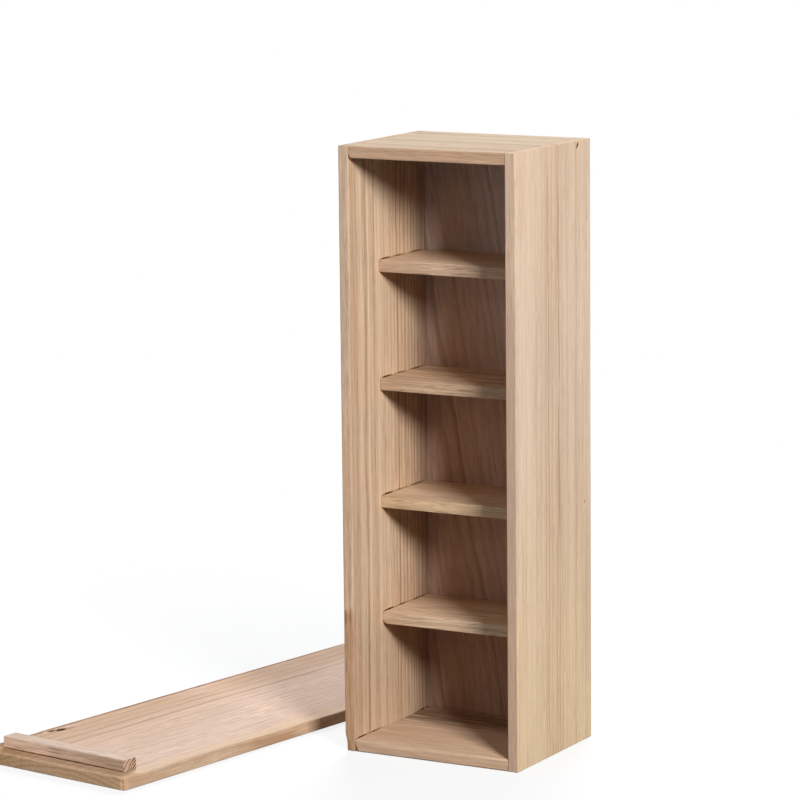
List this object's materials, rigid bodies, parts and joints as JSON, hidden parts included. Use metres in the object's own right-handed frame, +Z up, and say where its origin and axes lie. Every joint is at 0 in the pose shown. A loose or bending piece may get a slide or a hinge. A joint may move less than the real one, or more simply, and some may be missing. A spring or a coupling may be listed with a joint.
{
  "type": "compartment box",
  "caption": "Tall wooden box standing on end with fixed shelves set back from its open face, and a loose battened lid lying beside it.",
  "frame": {"origin": "centre of the box's base, on the surface that it stands on", "axes": "+Z up along the box's height, -Y out of the open face, +Y out of the back, +X to the right of someone facing the open face"},
  "size_m": [0.2461, 0.3116, 0.3],
  "materials": {
    "side_wood": "bare sanded paulownia",
    "end_wood": "bare sanded paulownia",
    "back_wood": "bare sanded paulownia, browner",
    "shelf_wood": "bare sanded paulownia",
    "lid_wood": "bare sanded paulownia",
    "batten_wood": "bare sanded paulownia",
    "brad_steel": "dull wire"
  },
  "bodies": {
    "box": {"left_side": "side_wood", "right_side": "side_wood", "top_end": "end_wood", "bottom_end": "end_wood", "back_panel": "back_wood", "shelf_1": "shelf_wood", "shelf_2": "shelf_wood", "shelf_3": "shelf_wood", "shelf_4": "shelf_wood", "end_brads": "brad_steel", "shelf_brads": "brad_steel"},
    "lid": {"lid_board": "lid_wood", "near_batten": "batten_wood", "far_batten": "batten_wood"}
  },
  "joints": [
    {"name": "lid_lift", "type": "slide", "parent": "box", "child": "lid", "axis": [0, 0, 1], "range_m": [0, 0.32]}
  ]
}
